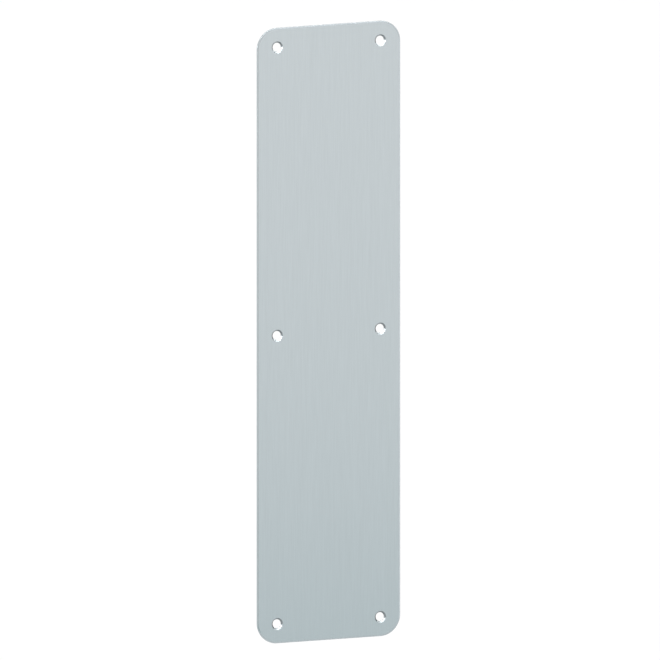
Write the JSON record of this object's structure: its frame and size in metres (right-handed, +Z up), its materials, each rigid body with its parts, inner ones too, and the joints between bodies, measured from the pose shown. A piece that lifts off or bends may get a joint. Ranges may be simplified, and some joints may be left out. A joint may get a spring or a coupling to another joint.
{
  "type": "door finger plate",
  "caption": "Flat steel push plate for a door: a tall rounded rectangle with a bevelled front rim and countersunk screw holes down both sides.",
  "frame": {"origin": "centre of the back face, which lies on the door", "axes": "+Z up the plate's length, +X across its width, +Y through its thickness into the door, so the front face looks along -Y"},
  "size_m": [0.1016, 0.0013, 0.4064],
  "materials": {
    "satin_steel": "satin, grain running up the plate"
  },
  "bodies": {
    "root": {"finger_plate": "satin_steel"}
  },
  "joints": []
}
